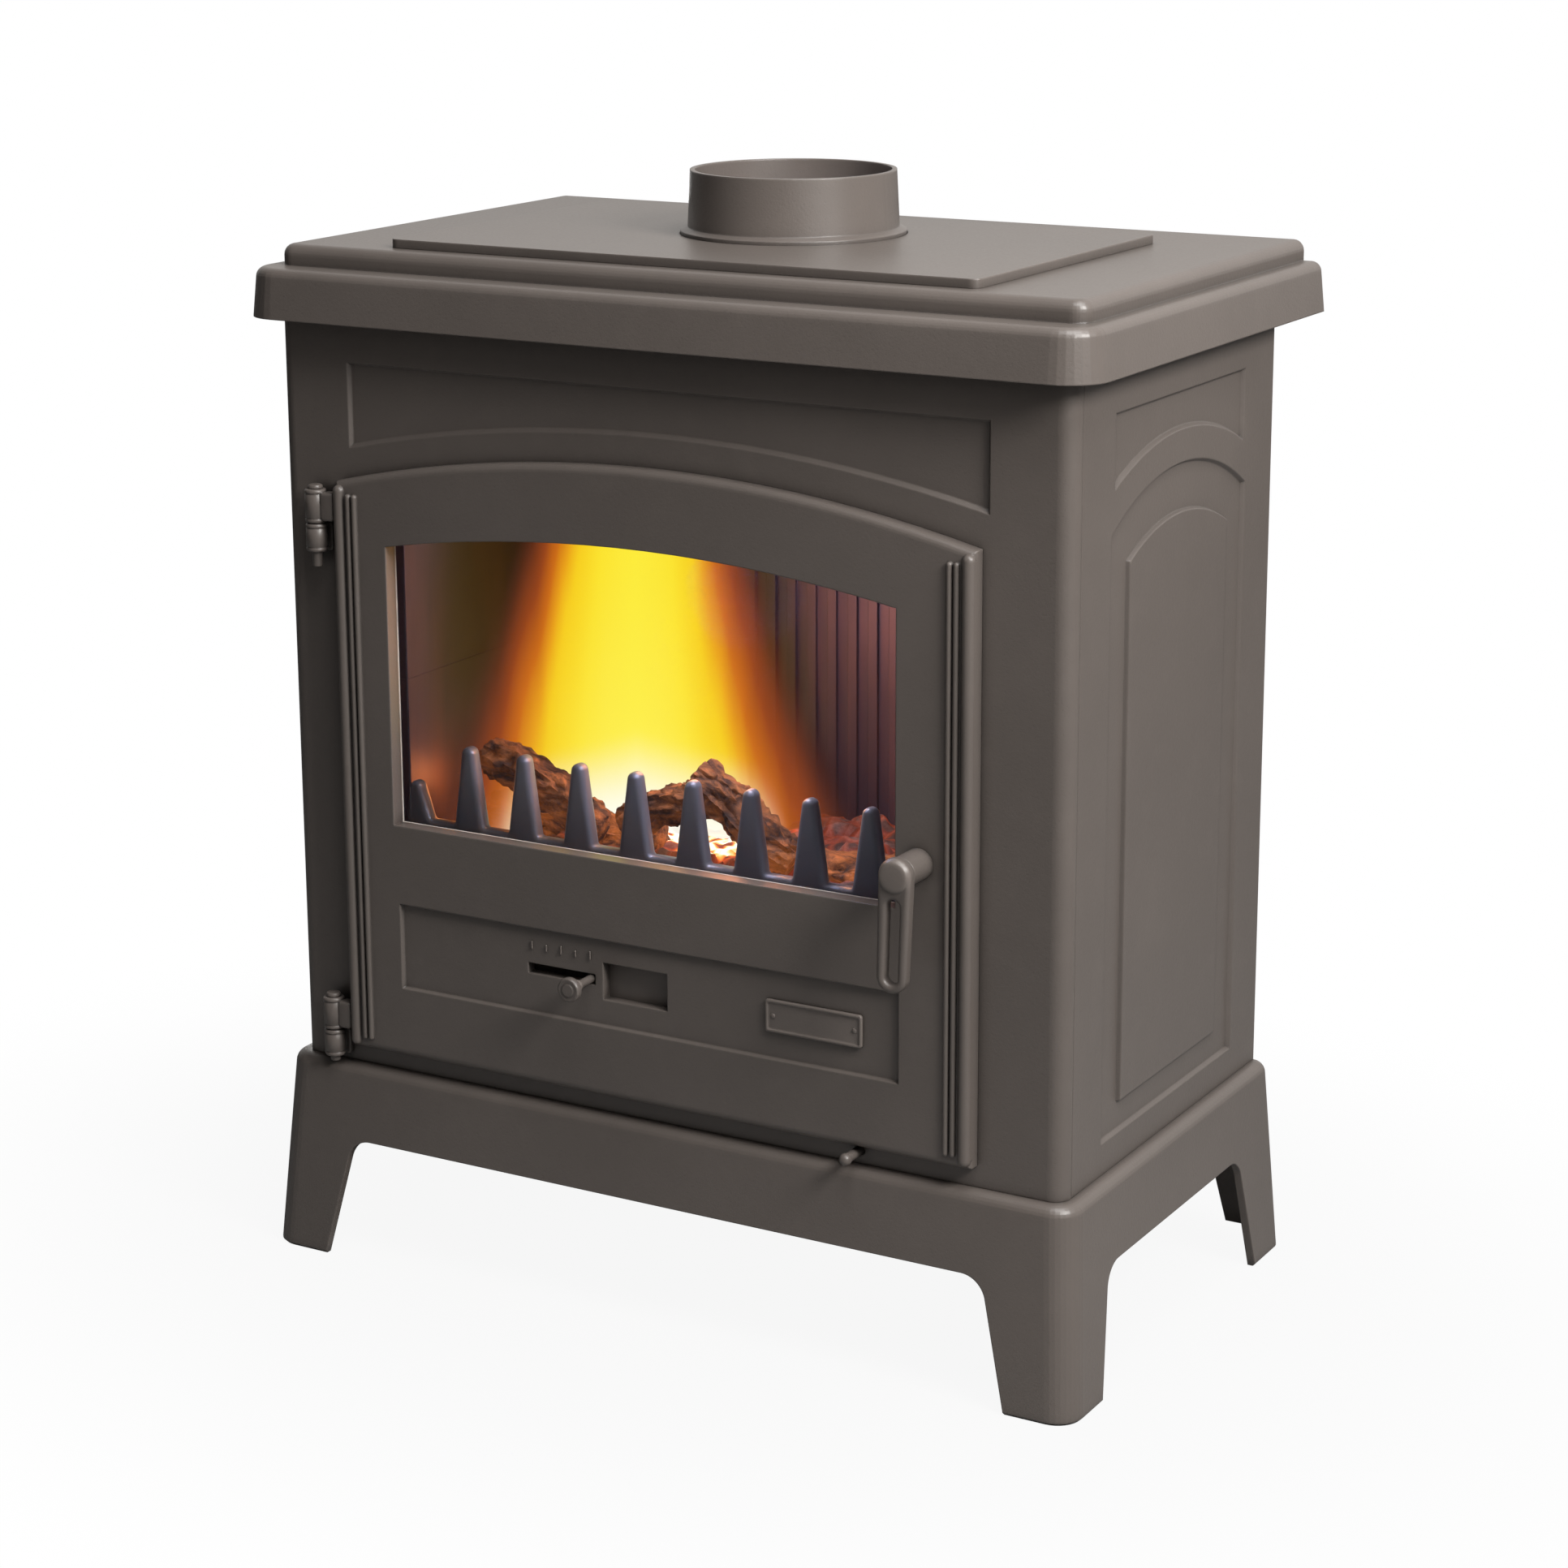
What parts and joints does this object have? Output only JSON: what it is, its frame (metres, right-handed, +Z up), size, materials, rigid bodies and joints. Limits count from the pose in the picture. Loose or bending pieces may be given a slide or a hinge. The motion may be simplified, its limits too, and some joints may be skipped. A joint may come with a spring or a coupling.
{
  "type": "wood-burning stove",
  "caption": "Freestanding cast iron wood-burning stove with an arched glass door, a splayed cast stand, arched side panels and a round flue collar on a stepped top.",
  "frame": {"origin": "on the floor, at the centre of the overall outline", "axes": "+X to the right seen from the front, -Y towards the door side, +Z up"},
  "size_m": [0.681, 0.4262, 0.8195],
  "materials": {
    "cast_body": "matt heat-resistant paint on sand-cast iron",
    "cast_inner": "raw, heat-darkened casting",
    "bright_steel": "zinc-plated or plain steel",
    "rope": "woven glass rope",
    "clear_glass": "clear ceramic glass"
  },
  "bodies": {
    "stove": {"stand": "cast_body", "bottom_plate": "cast_inner", "front_frame": "cast_body", "side_panel_left": "cast_body", "side_panel_right": "cast_body", "back_panel": "cast_body", "top_plate": "cast_body", "flue_plate": "cast_body", "flue_collar": "cast_body", "collar_lock_ring": "cast_inner", "tie_rods": "bright_steel", "tie_rod_nuts": "bright_steel", "liner_left_lower": "cast_inner", "liner_left_upper": "cast_inner", "liner_right_lower": "cast_inner", "liner_right_upper": "cast_inner", "liner_back": "cast_inner", "baffle_plate": "cast_inner", "firebox_floor": "cast_inner", "grate": "cast_inner", "log_guard": "cast_inner", "ash_pan": "bright_steel", "ash_pan_handle": "bright_steel", "latch_keeper": "bright_steel", "keeper_screws": "bright_steel", "hinge_brackets": "cast_body", "hinge_pins": "bright_steel"},
    "door": {"door": "cast_body", "door_seal": "rope", "glass_seal": "rope", "door_glass": "clear_glass", "glass_clips": "bright_steel", "clip_screws": "bright_steel", "hinge_eyes": "cast_body", "name_plate": "cast_body", "name_plate_rivets": "bright_steel", "slider_guides": "bright_steel", "guide_screws": "bright_steel", "handle_boss": "cast_body"},
    "door_handle": {"handle": "cast_body", "handle_shaft": "bright_steel", "latch_tongue": "bright_steel", "shaft_nut": "bright_steel"},
    "air_control": {"air_slider": "bright_steel", "slider_stem": "bright_steel", "slider_knob": "cast_body"},
    "bottom_damper": {"damper_plate": "bright_steel", "damper_rod": "bright_steel", "damper_knob": "bright_steel"}
  },
  "joints": [
    {"name": "door_hinge", "type": "hinge", "parent": "stove", "child": "door", "pos_m": [-0.284, -0.17335, 0.37], "axis": [0, 0, -1], "range_deg": [0, 110]},
    {"name": "handle_turn", "type": "hinge", "parent": "door", "child": "door_handle", "pos_m": [0.2144, -0.2, 0.3814], "axis": [0, -1, 0], "range_deg": [0, 90]},
    {"name": "air_slide", "type": "slide", "parent": "door", "child": "air_control", "axis": [-1, 0, 0], "range_m": [0, 0.05]},
    {"name": "damper_slide", "type": "slide", "parent": "stove", "child": "bottom_damper", "axis": [0, -1, 0], "range_m": [0, 0.024]}
  ]
}
